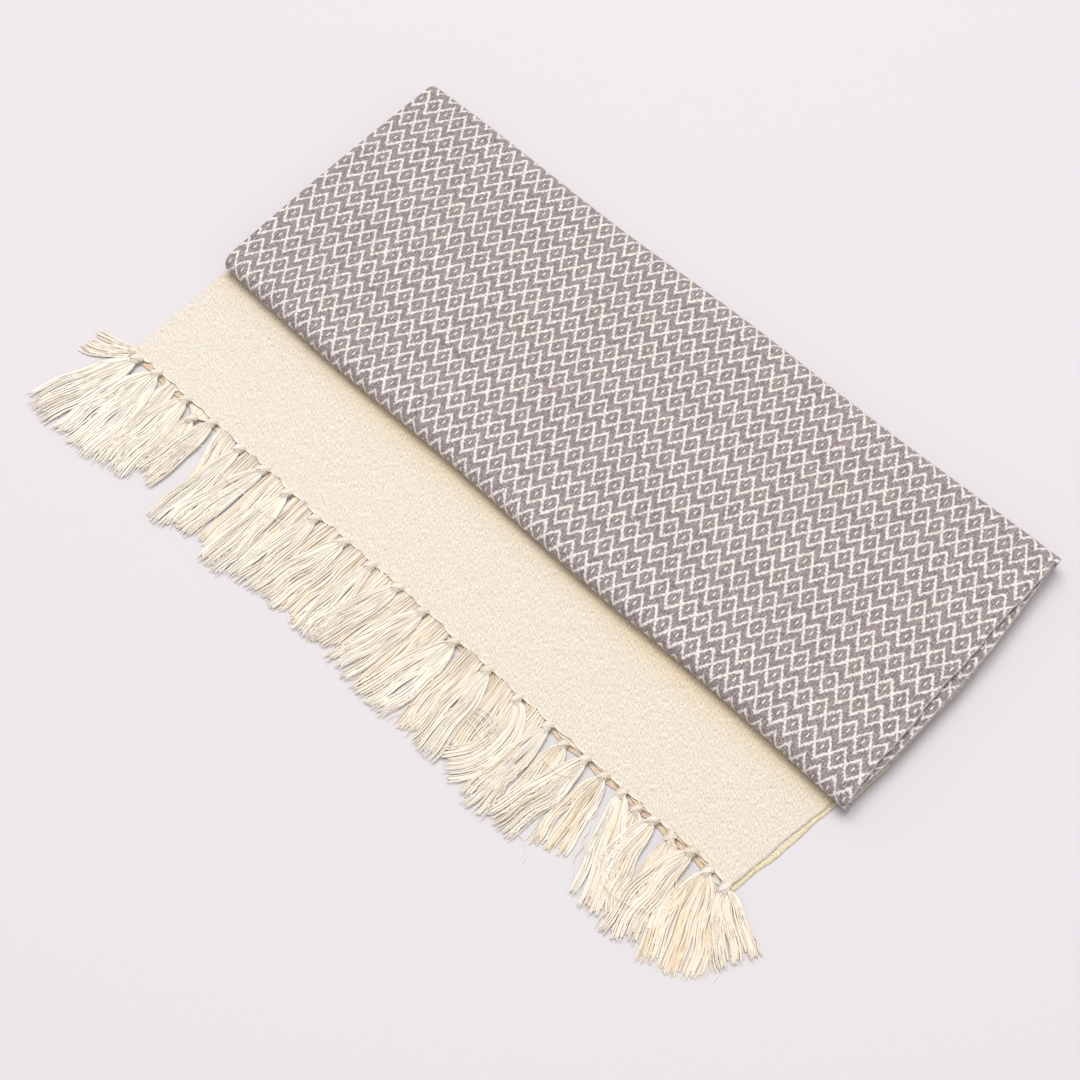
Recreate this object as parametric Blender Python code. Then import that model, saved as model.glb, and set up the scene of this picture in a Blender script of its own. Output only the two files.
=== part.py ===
"""Hammam towel, folded flat: one woven cotton cloth with a knotted fringe along its plain end band.

The cloth is first doubled across its width, with the fold on the left and both selvedges on the
right, and is then turned over and over along its length into a flat spiral of passes. The bottom
pass reaches out in front of the others, so the end band and the fringe lie open on the floor.

Frame: +X runs along the long folds towards the selvedges, +Y from the fringe to the back fold,
+Z up. The origin is under the middle of the towel's box, on the floor.
Every size below is in millimetres, and metres() turns it into Blender's units.
"""

import math

import bmesh
import bpy
from mathutils import Vector

MM = 0.001

# Cloth
FOLDED_WIDTH = 500.0      # left fold to selvedges
SHEET = 1.0               # cloth thickness
FOLD_GAP = 0.1            # air inside the doubled cloth
PASS_GAP = 0.25           # air between one pass and the next
TOP_LIFT = 0.9            # how far the top pass stands off at the selvedges
LIFT_WIDTH = 70.0         # how far in from the selvedges it begins to lift
TOP_SWELL = 0.35          # soft unevenness of the stack's top
SWELL_ALONG = 480.0       # length of one swell along the folds
SWELL_DEEP = 330.0        # and from fold to fold

# Fold lines and the woven end, as y = at_left - slope * x, x from the left fold
BACK_FOLD_Y = 160.0
BACK_FOLD_SLOPE = 0.035
FRONT_FOLD_Y = -13.0
FRONT_FOLD_SLOPE = 0.060
CLOTH_END_Y = -89.0
CLOTH_END_SLOPE = 0.058
HIDDEN_END_SHORT = 14.0   # how far the inner end stops short of the back fold
FOLD_WAVE = 0.8           # waver of the fold lines
FOLD_WAVE_LENGTH = 210.0

# How the sides of each pass lie, off a straight left fold at 0 and a straight selvedge at
# FOLDED_WIDTH: level 0 is on the floor, and start, middle and end follow the cloth from its
# fringed end. Passes run to the back and to the front by turns.
#        level  left: start  middle  end    right: start  middle  end
PASSES = (
    (    0,           -1.5,   0.5,   3.5,         -17.0,   -2.0,   1.0),
    (    6,            2.5,   0.0,   0.0,          -1.5,   -2.5,   0.5),
    (    1,            1.5,   2.0,   2.5,           0.0,    2.0,   0.5),
    (    5,            3.0,   1.0,   1.5,           0.0,    3.5,   0.0),
    (    2,            2.0,   2.5,   2.0,          -0.5,    1.5,   0.5),
    (    4,            3.0,   1.5,   2.0,           0.5,    5.0,   0.5),
    (    3,            2.5,   2.0,   3.0,           0.0,    2.5,   1.0),
)

# Fringe: upper row along the upper half of the end, lower row between its knots
FRINGE_GAP = 0.3          # to the cloth
SPINE_DEPTH = 1.5         # woven-in ends that join the tassels
UPPER_TASSELS = 21
FIRST_ROOT_X = 9.5
LAST_ROOT_X = 471.0
PITCH_GROWTH = 1.26       # pitch at the selvedges over pitch at the left fold
ROOT_SHARE = 0.72         # part of the pitch that gathers into one tassel
LENGTH_WAVE = 4.0         # how much the tassels' lengths differ, either way
LENGTH_TURNS = 0.16       # how fast that changes along the row, in radians a millimetre

# One tassel from its root outwards, through its neck, its knot and its loose skirt. The lower
# row lies on the floor; the upper row comes down between its knots and lies on its skirts.
#      reach  width  lower top  upper bottom  upper top
TASSEL = (
    (   1.8,   5.4,     1.1,        2.6,         4.6),
    (   3.4,   7.2,     5.2,        2.4,         7.6),
    (   8.0,   7.0,     5.2,        2.6,         7.6),
    (  10.4,   5.4,     3.8,        4.1,         7.6),
    (  36.0,  11.0,     3.6,        4.2,         7.8),
    (  68.0,  16.0,     2.6,        4.0,         6.6),
)

# Lean of the tassels away from -Y, positive towards the selvedges
#      part of the row  degrees
LEAN = (
    (0.00, -17.0),
    (0.12, -14.0),
    (0.50,  -8.0),
    (0.80,   2.0),
    (0.94,  12.0),
    (1.00,  26.0),
)

# How finely the folds are cut
COLUMNS = 10
HAIRPIN_STEPS = 4
PASS_STEPS = 4
TURN_STEPS = 6

COTTON_GREY = (0.47, 0.42, 0.43, 1.0)
COTTON_CREAM = (0.87, 0.82, 0.70, 1.0)

DOUBLED = 2.0 * SHEET + FOLD_GAP
PASS_PITCH = DOUBLED + PASS_GAP
TOP_LEVEL = max(row[0] for row in PASSES)
HAIRPIN_RADIUS = (SHEET + FOLD_GAP) / 2.0


def metres(x, y, z):
    """A point in metres from millimetres."""
    return Vector((x, y, z)) * MM


def blend(table, part, column=1):
    """Read a table's column at a part from 0 to 1, straight between its rows."""
    for before, after in zip(table, table[1:]):
        if part <= after[0]:
            share = (part - before[0]) / (after[0] - before[0])
            return before[column] + share * (after[column] - before[column])
    return table[-1][column]


def back_fold(x):
    """Middle of the back turns at a place across the cloth."""
    waver = FOLD_WAVE * math.sin(2.0 * math.pi * x / FOLD_WAVE_LENGTH)
    return BACK_FOLD_Y - BACK_FOLD_SLOPE * x + waver


def front_fold(x):
    """Middle of the front turns."""
    waver = FOLD_WAVE * math.sin(2.0 * math.pi * x / FOLD_WAVE_LENGTH + 2.0)
    return FRONT_FOLD_Y - FRONT_FOLD_SLOPE * x + waver


def cloth_end(x):
    """Where the weaving stops and the fringe begins."""
    return CLOTH_END_Y - CLOTH_END_SLOPE * x


def height(level, x, y):
    """Middle height of a pass, with the soft swell of the stack and the lifted selvedge."""
    turn = 2.0 * math.pi
    swell = TOP_SWELL * math.sin(turn * x / SWELL_ALONG) * math.cos(turn * y / SWELL_DEEP)
    z = DOUBLED / 2.0 + level * PASS_PITCH + swell * level / TOP_LEVEL
    if level == TOP_LEVEL:
        near_selvedge = max(0.0, 1.0 - (FOLDED_WIDTH - x) / LIFT_WIDTH)
        z += TOP_LIFT * near_selvedge ** 2
    return z


def side(values, part):
    """A side's place along a pass, smoothly through its start, middle and end."""
    start, middle, end = values
    return start * (1.0 - part) * (1.0 - 2.0 * part) + middle * 4.0 * part * (1.0 - part) + \
        end * part * (2.0 * part - 1.0)


def stations():
    """Each cross-row of the cloth: how to find its place, and where its two sides lie.

    A station is (kind, index, part): a straight pass or the turn after it, and how far along.
    """
    rows = []
    for index in range(len(PASSES)):
        for step in range(PASS_STEPS + 1):
            rows.append(("pass", index, step / PASS_STEPS))
        if index + 1 < len(PASSES):
            for step in range(1, TURN_STEPS):
                rows.append(("turn", index, step / TURN_STEPS))
    return rows


def place(station, x):
    """Middle of the doubled cloth at a station, as y and z, and its inward normal."""
    kind, index, part = station
    towards_back = index % 2 == 0
    level = PASSES[index][0]
    if kind == "turn":
        centre_y = back_fold(x) if towards_back else front_fold(x)
        z_here = height(level, x, centre_y)
        z_next = height(PASSES[index + 1][0], x, centre_y)
        radius = abs(z_next - z_here) / 2.0
        angle = math.pi * (part - 0.5)
        outward = 1.0 if towards_back else -1.0
        y = centre_y + outward * radius * math.cos(angle)
        z = (z_here + z_next) / 2.0 + outward * radius * math.sin(angle)
        return y, z, -outward * math.cos(angle), -outward * math.sin(angle)
    first = cloth_end(x) if index == 0 else front_fold(x)
    last = back_fold(x)
    if index == len(PASSES) - 1:
        last -= HIDDEN_END_SHORT
    if not towards_back:
        first, last = last, front_fold(x)
    y = first + part * (last - first)
    return y, height(level, x, y), 0.0, 1.0 if towards_back else -1.0


def sides(station):
    """Left fold and selvedge of the cloth at a station."""
    kind, index, part = station
    here = PASSES[index]
    if kind == "pass":
        return side(here[1:4], part), FOLDED_WIDTH + side(here[4:7], part)
    following = PASSES[index + 1]
    left = here[3] + part * (following[1] - here[3])
    right = here[6] + part * (following[4] - here[6])
    return left, FOLDED_WIDTH + right


def across():
    """Columns across the doubled cloth, from the outer selvedge round the fold to the inner one.

    Each is (share of the way from fold to selvedge, hairpin angle): the angle is -90 degrees on
    the outer half and +90 degrees on the inner one.
    """
    outer = [(1.0 - step / COLUMNS, -math.pi / 2.0) for step in range(COLUMNS + 1)]
    bend = [(0.0, math.pi * (step / HAIRPIN_STEPS - 0.5)) for step in range(1, HAIRPIN_STEPS)]
    inner = [(step / COLUMNS, math.pi / 2.0) for step in range(COLUMNS + 1)]
    return outer + bend + inner


def doubled_point(station, share, angle):
    """A point on the middle of one half of the doubled cloth."""
    left, right = sides(station)
    bend_centre = left + HAIRPIN_RADIUS + SHEET / 2.0
    x = bend_centre + share * (right - bend_centre) - HAIRPIN_RADIUS * math.cos(angle)
    offset = HAIRPIN_RADIUS * math.sin(angle)
    y, z, normal_y, normal_z = place(station, x)
    return metres(x, y + offset * normal_y, z + offset * normal_z)


def cotton(name, colour, roughness):
    """A matt cotton material."""
    material = bpy.data.materials.new(name)
    material.use_nodes = True
    shader = material.node_tree.nodes["Principled BSDF"]
    shader.inputs["Base Color"].default_value = colour
    shader.inputs["Roughness"].default_value = roughness
    shader.inputs["Metallic"].default_value = 0.0
    return material


def new_object(name, mesh_data, material):
    """Put a finished bmesh into the scene as a named object."""
    mesh = bpy.data.meshes.new(name)
    mesh_data.to_mesh(mesh)
    mesh_data.free()
    mesh.materials.append(material)
    item = bpy.data.objects.new(name, mesh)
    bpy.context.scene.collection.objects.link(item)
    return item


def make_cloth():
    """The woven cloth: a flat grid laid on the folds and thickened to a sheet."""
    rows = stations()
    columns = across()
    sheet = bmesh.new()
    bmesh.ops.create_grid(sheet, x_segments=len(columns) - 1, y_segments=len(rows) - 1, size=0.5)
    for vertex in sheet.verts:
        column = columns[round((vertex.co.x + 0.5) * (len(columns) - 1))]
        row = rows[round((vertex.co.y + 0.5) * (len(rows) - 1))]
        vertex.co = doubled_point(row, *column)
    bmesh.ops.recalc_face_normals(sheet, faces=sheet.faces)
    cloth = new_object("towel_cloth", sheet, cotton("grey_and_cream_cotton", COTTON_GREY, 0.9))
    thickness = cloth.modifiers.new("thickness", "SOLIDIFY")
    thickness.thickness = SHEET * MM
    thickness.offset = 0.0
    return cloth


def roots(count, first, last):
    """Root centres along a row, the pitch growing evenly towards the selvedges."""
    weights = [1.0 + (PITCH_GROWTH - 1.0) * step / (count - 2) for step in range(count - 1)]
    scale = (last - first) / sum(weights)
    places = [first]
    for weight in weights:
        places.append(places[-1] + scale * weight)
    return places


def fringe_columns():
    """Edges of each root along the spine, as (x, hairpin angle, tassel begins here)."""
    upper = roots(UPPER_TASSELS, FIRST_ROOT_X, LAST_ROOT_X)
    lower = [(before + after) / 2.0 for before, after in zip(upper, upper[1:])]
    half = ROOT_SHARE * (upper[1] - upper[0]) / 2.0
    columns = []
    for x in reversed(lower):
        columns += [(x + half, -math.pi / 2.0, True), (x - half, -math.pi / 2.0, False)]
    bend_x = PASSES[0][1] + HAIRPIN_RADIUS + SHEET / 2.0
    for step in range(HAIRPIN_STEPS + 1):
        columns.append((bend_x, math.pi * (step / HAIRPIN_STEPS - 0.5), False))
    for x in upper:
        columns += [(x - half, math.pi / 2.0, True), (x + half, math.pi / 2.0, False)]
    return columns


def spine_section(x, angle):
    """Four corners of the spine at one column: back and front, inner and outer side."""
    corners = []
    for depth, radius in ((0.0, -0.5), (0.0, 0.5), (1.0, 0.5), (1.0, -0.5)):
        distance = HAIRPIN_RADIUS + radius * SHEET
        point_x = x - distance * math.cos(angle)
        y = cloth_end(point_x) - FRINGE_GAP - depth * SPINE_DEPTH
        corners.append(metres(point_x, y, DOUBLED / 2.0 + distance * math.sin(angle)))
    return corners


def grow_tassel(comb, face, upper):
    """Draw one tassel out of the spine's front face, section by section."""
    root = face.calc_center_median() / MM
    lean = math.radians(blend(LEAN, root.x / LAST_ROOT_X))
    tip = TASSEL[-1][0]
    longer = LENGTH_WAVE * math.sin(LENGTH_TURNS * root.x)
    for reach, width, lower_top, upper_bottom, upper_top in TASSEL:
        bottom, top = (upper_bottom, upper_top) if upper else (0.0, lower_top)
        drawn = reach + longer * (reach / tip) ** 2
        centre_x = root.x + drawn * math.sin(lean)
        centre_y = root.y - drawn * math.cos(lean)
        face = bmesh.ops.extrude_discrete_faces(comb, faces=[face])["faces"][0]
        middle = face.calc_center_median()
        for vertex in face.verts:
            half = width / 2.0 if vertex.co.x > middle.x else -width / 2.0
            vertex.co = metres(centre_x + half * math.cos(lean),
                               centre_y + half * math.sin(lean),
                               top if vertex.co.z > middle.z else bottom)


def make_fringe():
    """The knotted fringe as one comb: a spine along the doubled end with a tooth per tassel."""
    comb = bmesh.new()
    columns = fringe_columns()
    sections = [[comb.verts.new(corner) for corner in spine_section(x, angle)]
                for x, angle, _ in columns]
    comb.faces.new(sections[0])
    comb.faces.new(reversed(sections[-1]))
    fronts = []
    for index, (here, following) in enumerate(zip(sections, sections[1:])):
        for corner in range(4):
            other = (corner + 1) % 4
            face = comb.faces.new((here[corner], following[corner],
                                   following[other], here[other]))
            if corner == 2 and columns[index][2]:
                fronts.append((face, columns[index][1] > 0.0))
    bmesh.ops.recalc_face_normals(comb, faces=comb.faces)
    for face, upper in fronts:
        grow_tassel(comb, face, upper)
    return new_object("fringe", comb, cotton("cream_cotton_yarn", COTTON_CREAM, 0.95))


def centre_on_floor(items):
    """Move the meshes so that the origin is under the middle of their common box."""
    bpy.context.view_layer.update()
    graph = bpy.context.evaluated_depsgraph_get()
    corners = []
    for item in items:
        corners += [vertex.co.copy() for vertex in item.evaluated_get(graph).data.vertices]
    low = Vector(min(corner[axis] for corner in corners) for axis in range(3))
    high = Vector(max(corner[axis] for corner in corners) for axis in range(3))
    shift = Vector((-(low.x + high.x) / 2.0, -(low.y + high.y) / 2.0, -low.z))
    for item in items:
        for vertex in item.data.vertices:
            vertex.co += shift


def main():
    """Clear the scene and make the towel."""
    for item in list(bpy.data.objects):
        bpy.data.objects.remove(item, do_unlink=True)
    centre_on_floor([make_cloth(), make_fringe()])


main()
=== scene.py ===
"""Looks of a folded hammam towel, laid out as an add-on and run as a script.

One woven cotton cloth is doubled across its width and turned over and over along its length. Its
plain end band lies open in front, and the warp of both its halves is knotted into tassels there.
Sizes are in millimetres of the towel's own frame: +X runs along the folds from the left fold to
the selvedges, +Y from the fringe to the back fold, +Z up from the floor. to_frame() moves a point
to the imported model's frame, in metres.
"""

import math
import random
from collections import namedtuple

import bmesh
import bpy
from mathutils import Matrix, Vector


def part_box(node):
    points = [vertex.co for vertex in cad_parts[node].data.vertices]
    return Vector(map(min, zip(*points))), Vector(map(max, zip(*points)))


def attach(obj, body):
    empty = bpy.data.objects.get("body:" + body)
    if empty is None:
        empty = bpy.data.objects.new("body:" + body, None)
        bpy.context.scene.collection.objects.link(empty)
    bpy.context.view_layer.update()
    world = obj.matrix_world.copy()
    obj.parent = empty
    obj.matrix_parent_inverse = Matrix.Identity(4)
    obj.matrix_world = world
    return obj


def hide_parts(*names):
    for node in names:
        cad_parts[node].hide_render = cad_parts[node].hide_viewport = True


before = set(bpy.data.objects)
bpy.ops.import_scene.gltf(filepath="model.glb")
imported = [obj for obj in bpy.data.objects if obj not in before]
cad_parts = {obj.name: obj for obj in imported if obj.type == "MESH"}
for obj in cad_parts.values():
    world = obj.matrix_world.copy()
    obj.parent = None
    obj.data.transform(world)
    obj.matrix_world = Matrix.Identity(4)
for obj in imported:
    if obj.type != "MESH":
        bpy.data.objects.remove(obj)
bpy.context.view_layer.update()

bl_info = {
    "name": "Folded hammam towel",
    "version": (1, 0, 0),
    "blender": (4, 5, 0),
    "location": "3D View > Sidebar > Towel",
    "description": "Builds a folded cotton towel with a diamond weave and a knotted fringe",
    "category": "Add Mesh",
}

MM = 0.001
TURN = 2.0 * math.pi

# The folds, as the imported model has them
FOLDED_WIDTH = 500.0
SHEET = 1.0
FOLD_GAP = 0.1
PASS_GAP = 0.25
TOP_LIFT = 0.9
LIFT_WIDTH = 70.0
TOP_SWELL = 0.35
SWELL_ALONG = 480.0
SWELL_DEEP = 330.0
BACK_FOLD_Y = 160.0
BACK_FOLD_SLOPE = 0.035
FRONT_FOLD_Y = -13.0
FRONT_FOLD_SLOPE = 0.060
CLOTH_END_Y = -89.0
CLOTH_END_SLOPE = 0.058
HIDDEN_END_SHORT = 14.0
FOLD_WAVE = 0.8
FOLD_WAVE_LENGTH = 210.0
#        level  left: start  middle  end    right: start  middle  end
PASSES = (
    (    0,           -1.5,   0.5,   3.5,         -17.0,   -2.0,  -5.0),
    (    6,            2.5,   0.0,   0.0,          -1.5,   -2.0,   0.5),
    (    1,            1.5,   2.0,   2.5,           1.0,   -1.5,  -4.5),
    (    5,            3.0,   1.0,   1.5,          -1.8,    4.0,   0.5),
    (    2,            2.0,   2.5,   2.0,           0.5,    0.5,  -4.0),
    (    4,            3.0,   1.5,   2.0,          -2.5,    4.5,   0.5),
    (    3,            2.5,   2.0,   3.0,           1.0,    3.0,  -3.0),
)
DOUBLED = 2.0 * SHEET + FOLD_GAP
PASS_PITCH = DOUBLED + PASS_GAP
TOP_LEVEL = 6
STACK_TOP = DOUBLED + TOP_LEVEL * PASS_PITCH
HAIRPIN_RADIUS = (SHEET + FOLD_GAP) / 2.0

# How finely the cloth is cut: rows along each straight pass and each turn, columns across
PASS_ROWS = {0: 30, 1: 62}
OTHER_PASS_ROWS = 6
TURN_ROWS = {0: 14, 1: 16}
OTHER_TURN_ROWS = 8
OUTER_COLUMNS = 118
INNER_COLUMNS = 84
HAIRPIN_COLUMNS = 6
END_ROWS_CROWD = 2.2  # crowds the first pass's rows towards the woven end
SELVEDGE_CROWD = 1.25  # crowds the columns towards the selvedges

# Soft troughs and ridges of the top, in the towel's own frame
#    x      y    half length  half width  turned  height
SWELLS = (
    ( 60.0,  90.0,    70.0,      20.0,     25.0,   0.45),
    (150.0,  20.0,    90.0,      16.0,     -8.0,  -0.40),
    (205.0, 105.0,   110.0,      18.0,      6.0,   0.40),
    (300.0,  40.0,   100.0,      22.0,     -4.0,   0.45),
    (345.0, 110.0,    90.0,      17.0,    -12.0,  -0.45),
    (430.0,  70.0,    60.0,      24.0,     38.0,   0.50),
    (465.0,   5.0,    50.0,      16.0,     20.0,  -0.40),
    (250.0, 140.0,   160.0,      12.0,     -2.0,  -0.30),
    (120.0, 135.0,    80.0,      12.0,     -4.0,   0.30),
    (390.0, -15.0,    90.0,      11.0,     -4.0,   0.35),
)
BAND_RIPPLE = 0.55  # how much the open band's edge rises at each knot
BAND_RIPPLE_REACH = 9.0  # how far that carries into the cloth
END_DRAWN = 1.6  # how far the knots draw the woven end out
END_OUT = 5.0  # how far the last picks slide down the fringe
LOWER_LONGER = 4.0  # how far the lower half shows past the upper one
BAND_SPLIT = 1.6  # half the gap between the open band's two selvedges
SELVEDGE_SPLIT = 0.5  # the same for the other passes
SELVEDGE_FROM = 0.9  # share of the way across from which the selvedges wander
# How they wander, as waves along the cloth
#    turn per mm  shift per pass  per half  height
SELVEDGE_WAVES = (
    (   0.11,          1.9,         1.0,     0.5),
    (   0.31,          4.0,         0.0,     0.3),
)

# Diamond weave
REPEAT_WIDTH = 10.3  # one diamond, across the cloth
REPEAT_LENGTH = 16.83  # one row of diamonds to the next, along the cloth
ENDS_PER_REPEAT = 16
PICKS_PER_ROW = 18
REPEATS_ACROSS = 20.0  # more than reach from a selvedge to the towel's own zero
CENTRE_END = 19.34  # repeats from the selvedge to the diamond at the towel's own zero
DIAMOND_RISE = 0.455  # how far a white line climbs, in rows
LINE_HALF = 0.105  # half its thickness, in rows
LINE_RAGGED = 0.05  # how unevenly its floats end
DASH_WIDTH = 0.06  # the dash in each diamond is one end wide, in half repeats
DASH_HALF = 0.06  # half its length, in rows
DASH_LOW = 0.028  # how far it sits below the middle of its diamond
DASH_BRIGHTER = 0.2
TIE_EVERY = 6.0  # crossings from one tie-down to the next
TIE_STEP = 3.0  # and its shift from thread to thread
WARP_TIE = 0.28  # how much of the other yarn shows at a tie-down
WEFT_TIE = 0.35
WARP_TALLER = 0.35  # the warp stands this much proud of the weft
# Shade of the yarn: how uneven it is over a pair of crossings and over one crossing, along one
# end and along one pick, and how much painted shade darkens it between two threads
GRAIN_BASE = 0.86
WEFT_GRAIN = 0.60
WARP_GRAIN = 0.18
CROSSING_GRAIN = 0.30
END_GRAIN = 0.06
PICK_GRAIN = 0.08
CROWN_BASE = 0.80
CROWN_SHADE = 0.24
BRIGHTEST = 1.3
SELVEDGE_STREAK = 0.15  # how fast the streaks of the selvedge change from pick to pick

PAIR_LOT = 7.0  # keeps the two sets of random shares apart
CELL_LOT = 3.0

# End bands
BAND_LENGTH = 110.0  # plain cream band at each end
BAND_TO_SPARE = 0.02  # the flat cloth comes out a little longer than it was cut, in metres
SELVEDGE_BAND = 0.7
# width of the band's selvedges; the lower half's gets painted shade
BAND_SELVEDGE = 2.6
FOLD_SHADE_START = 52.0  # painted shade: the band darkens to tan from here on, in under the fold
FOLD_SHADE_REACH = 24.0
SIDE_SHADE = 0.35  # and a little painted shade towards the selvedges, for each metre of cloth
SHADED_END = 4.2  # last picks of the lower half, seen only between the knots
SHADED_FROM_SIDE = 14.0
FLOAT_LEAN = math.radians(41.0)  # the band's floats lie along one side of the diamonds
FLOAT_WIDTH = 0.8
FLOAT_LENGTH = 6.0
# painted shade and highlight of the band's floats, in step with their relief
FLOAT_SHADE = 1.4
FLOAT_BASE = 0.31
BAND_GRAIN = 0.10

# Relief of the cloth: size of each kind in mm, and how high it stands as a share of the whole
WRINKLE_SIZE = 7.0
CREPE_SIZE = 1.9
WRINKLE_RELIEF = 0.8
THREAD_RELIEF = 0.32
CROSSING_RELIEF = 0.18
CREPE_RELIEF = 0.5
CREPE_RELIEF_BAND = 0.08
FLOAT_RELIEF = 0.2
FLOAT_RELIEF_BAND = 0.7
RELIEF_STRENGTH = 0.6
RELIEF_HEIGHT = 0.5

FLAT_WIDTH = 1.0
FLAT_LENGTH = 1.38

# Upper row of tassels: where the knot sits along the end and how far out from the woven end,
# how the tassel leans at its knot and at its tip (degrees from straight out, positive towards
# the selvedges), its length, its width at the tip, how the knot is turned, and half the tassel's
# width as it leaves the knot. Where that is wide, the knot is tucked under the cloth's edge.
#  place   out   lean: knot   tip   length  width  turn   neck
UPPER_ROW = (
    (   6.0,  5.0,    -20.0, -17.0,   66.0,  27.0,   20.0,   2.2),
    (  22.0,  3.5,     -6.0,  -2.0,   66.0,  36.0,   10.0,   2.6),
    (  48.0,  3.5,     -6.0,   4.0,   64.0,  26.0,   45.0,   2.4),
    (  71.0,  3.5,     -4.0,  -6.0,   52.0,  18.0,   35.0,   2.2),
    (  95.5,  4.0,     -3.0,  -2.0,   66.0,  15.0,    5.0,   2.2),
    ( 116.0,  3.5,    -16.0,  -4.0,   62.0,  19.0,   15.0,   2.2),
    ( 137.0,  5.0,      0.0,  -2.0,   64.0,  20.0,   20.0,   2.2),
    ( 161.0,  5.0,     -4.0,  -8.0,   58.0,  17.0,   25.0,   2.2),
    ( 184.0,  3.5,    -14.0,  -8.0,   57.0,  22.0,   30.0,   2.2),
    ( 206.0,  3.5,     -2.0,   2.0,   57.0,  17.0,   40.0,   2.2),
    ( 227.0,  2.5,    -20.0, -14.0,   56.0,  20.0,    0.0,   2.2),
    ( 248.0,  3.0,    -12.0, -14.0,   58.0,  21.0,   10.0,   2.2),
    ( 274.0,  4.5,     -8.0, -14.0,   60.0,  28.0,   35.0,   2.2),
    ( 300.0,  3.5,      8.0,   2.0,   60.0,  20.0,   45.0,   2.4),
    ( 324.0,  4.0,     40.0, -46.0,   62.0,  24.0,   40.0,   2.2),
    ( 347.5,  4.0,     -2.0,  -1.0,   63.0,  18.0,   60.0,   2.2),
    ( 376.0,  4.0,     -8.0, -14.0,   62.0,  22.0,   55.0,   2.2),
    ( 404.0,  4.0,     26.0,  20.0,   63.0,  21.0,   30.0,   2.4),
    ( 427.0,  4.0,     -8.0,  28.0,   61.0,  22.0,   15.0,   2.6),
    ( 454.0,  2.5,    -16.0,  16.0,   64.0,  22.0,   20.0,   2.6),
    ( 480.5,  5.0,     44.0,  54.0,   42.0,  24.0,   50.0,   2.2),
)
# Lower row, from the half of the cloth that lies on the floor
LOWER_ROW = (
    (   1.0,  2.5,    -62.0, -75.0,   30.0,  17.0,    0.0,   2.2),
    (  34.5,  4.0,      2.0,   6.0,   56.0,  18.0,   20.0,   4.0),
    (  60.0, 10.0,      2.0,   8.0,   44.0,  22.0,  -20.0,   2.2),
    (  83.0,  2.0,     14.0,  16.0,   42.0,  13.0,   30.0,   7.0),
    ( 105.5,  2.0,      2.0,   4.0,   60.0,  17.0,    0.0,   7.5),
    ( 126.0,  2.0,      2.0,  -2.0,   60.0,  17.0,   20.0,   7.5),
    ( 149.0,  2.0,      0.0,  -4.0,   56.0,  16.0,    0.0,   7.5),
    ( 172.5,  2.0,     -6.0,   0.0,   54.0,  18.0,   25.0,   8.0),
    ( 195.0,  2.0,      0.0,  -6.0,   56.0,  18.0,   10.0,   8.0),
    ( 216.5,  2.0,      2.0,  -6.0,   54.0,  19.0,    0.0,   8.0),
    ( 238.0,  2.0,     -8.0, -12.0,   50.0,  20.0,   20.0,   8.0),
    ( 260.0,  2.0,     -4.0,   0.0,   56.0,  20.0,   10.0,   8.5),
    ( 288.0,  2.0,      2.0,   3.0,   58.0,  18.0,   30.0,   7.0),
    ( 312.0,  2.0,     10.0,   4.0,   52.0,  22.0,   20.0,   9.0),
    ( 337.0,  2.0,      6.0,   2.0,   52.0,  20.0,   30.0,   7.5),
    ( 361.0,  5.5,      6.0,  10.0,   52.0,  22.0,   20.0,   2.2),
    ( 390.0,  4.0,      0.0,  10.0,   50.0,  24.0,   10.0,   2.2),
    ( 416.0,  5.0,     20.0,  28.0,   50.0,  20.0,   40.0,   2.2),
    ( 440.5,  4.5,     24.0,  20.0,   54.0,  26.0,   70.0,   2.2),
    ( 467.5,  4.5,     14.0,  26.0,   60.0,  38.0,   20.0,   2.4),
)
# Threads that came loose: start, bend and end, each as x, y, z
LOOSE_THREADS = (
    ((473.0, -101.0,  2.3), (478.0, -105.5,  2.4), (486.0, -107.0,  2.4)),
    ((474.0, -107.0,  2.4), (475.0, -115.0,  2.8), (480.0, -124.0,  3.6)),
    (( 46.0, -123.0,  7.0), ( 66.0, -129.0,  7.4), ( 81.0, -116.0,  6.0)),
    (( 98.0, -122.0,  6.4), (128.0, -127.0,  6.8), (152.0, -123.0,  5.8)),
    ((376.0, -176.0,  2.0), (388.0, -176.0,  1.0), (390.0, -187.0,  0.5)),
    ((430.0, -168.0,  5.0), (450.0, -172.0,  5.4), (456.0, -164.0,  4.2)),
    ((357.0, -134.0,  4.6), (372.0, -139.0,  5.0), (378.0, -132.0,  4.4)),
    ((311.0, -134.0,  3.6), (322.0, -132.0,  4.6), (331.0, -141.0,  4.0)),
    ((312.0, -137.0,  3.4), (325.0, -136.0,  4.4), (332.0, -144.0,  4.0)),
    ((313.0, -140.0,  3.4), (324.0, -141.0,  4.2), (332.0, -147.0,  3.8)),
    ((312.0, -144.0,  3.4), (322.0, -146.0,  4.2), (330.0, -150.0,  3.8)),
    ((227.0, -121.0,  4.0), (231.0, -123.0,  4.4), (236.0, -120.0,  3.8)),
)
LOOSE_STEPS = 12
LOOSE_GIRTH = 0.75
LOOSE_WANDER = 0.35
UPPER_SEED = 11
LOWER_SEED = 23
LOOSE_SEED = 5

Tassel = namedtuple("Tassel", "place out lean_knot lean_tip length width turn neck")
# How a row lies: height of its knots, how high its strands stack in them, the height on which
# they come to rest and how deep they lie there, and how much painted shade darkens them, all
# along and at the woven end
Lie = namedtuple("Lie", "knot stack rest deep golden root_golden")
UPPER_LIE = Lie(3.4, 0.85, 1.3, 1.4, 0.0, 0.2)
LOWER_LIE = Lie(2.6, 0.85, 0.35, 1.1, 0.08, 0.6)
TUCKED_LIE = Lie(1.5, 0.8, 0.35, 1.1, 0.08, 0.6)
TUCKED_NECK = 3.0  # a wider neck than this has its knot out of sight
KNOT_SQUEEZE = 0.5  # how much a knot narrows the strands

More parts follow.
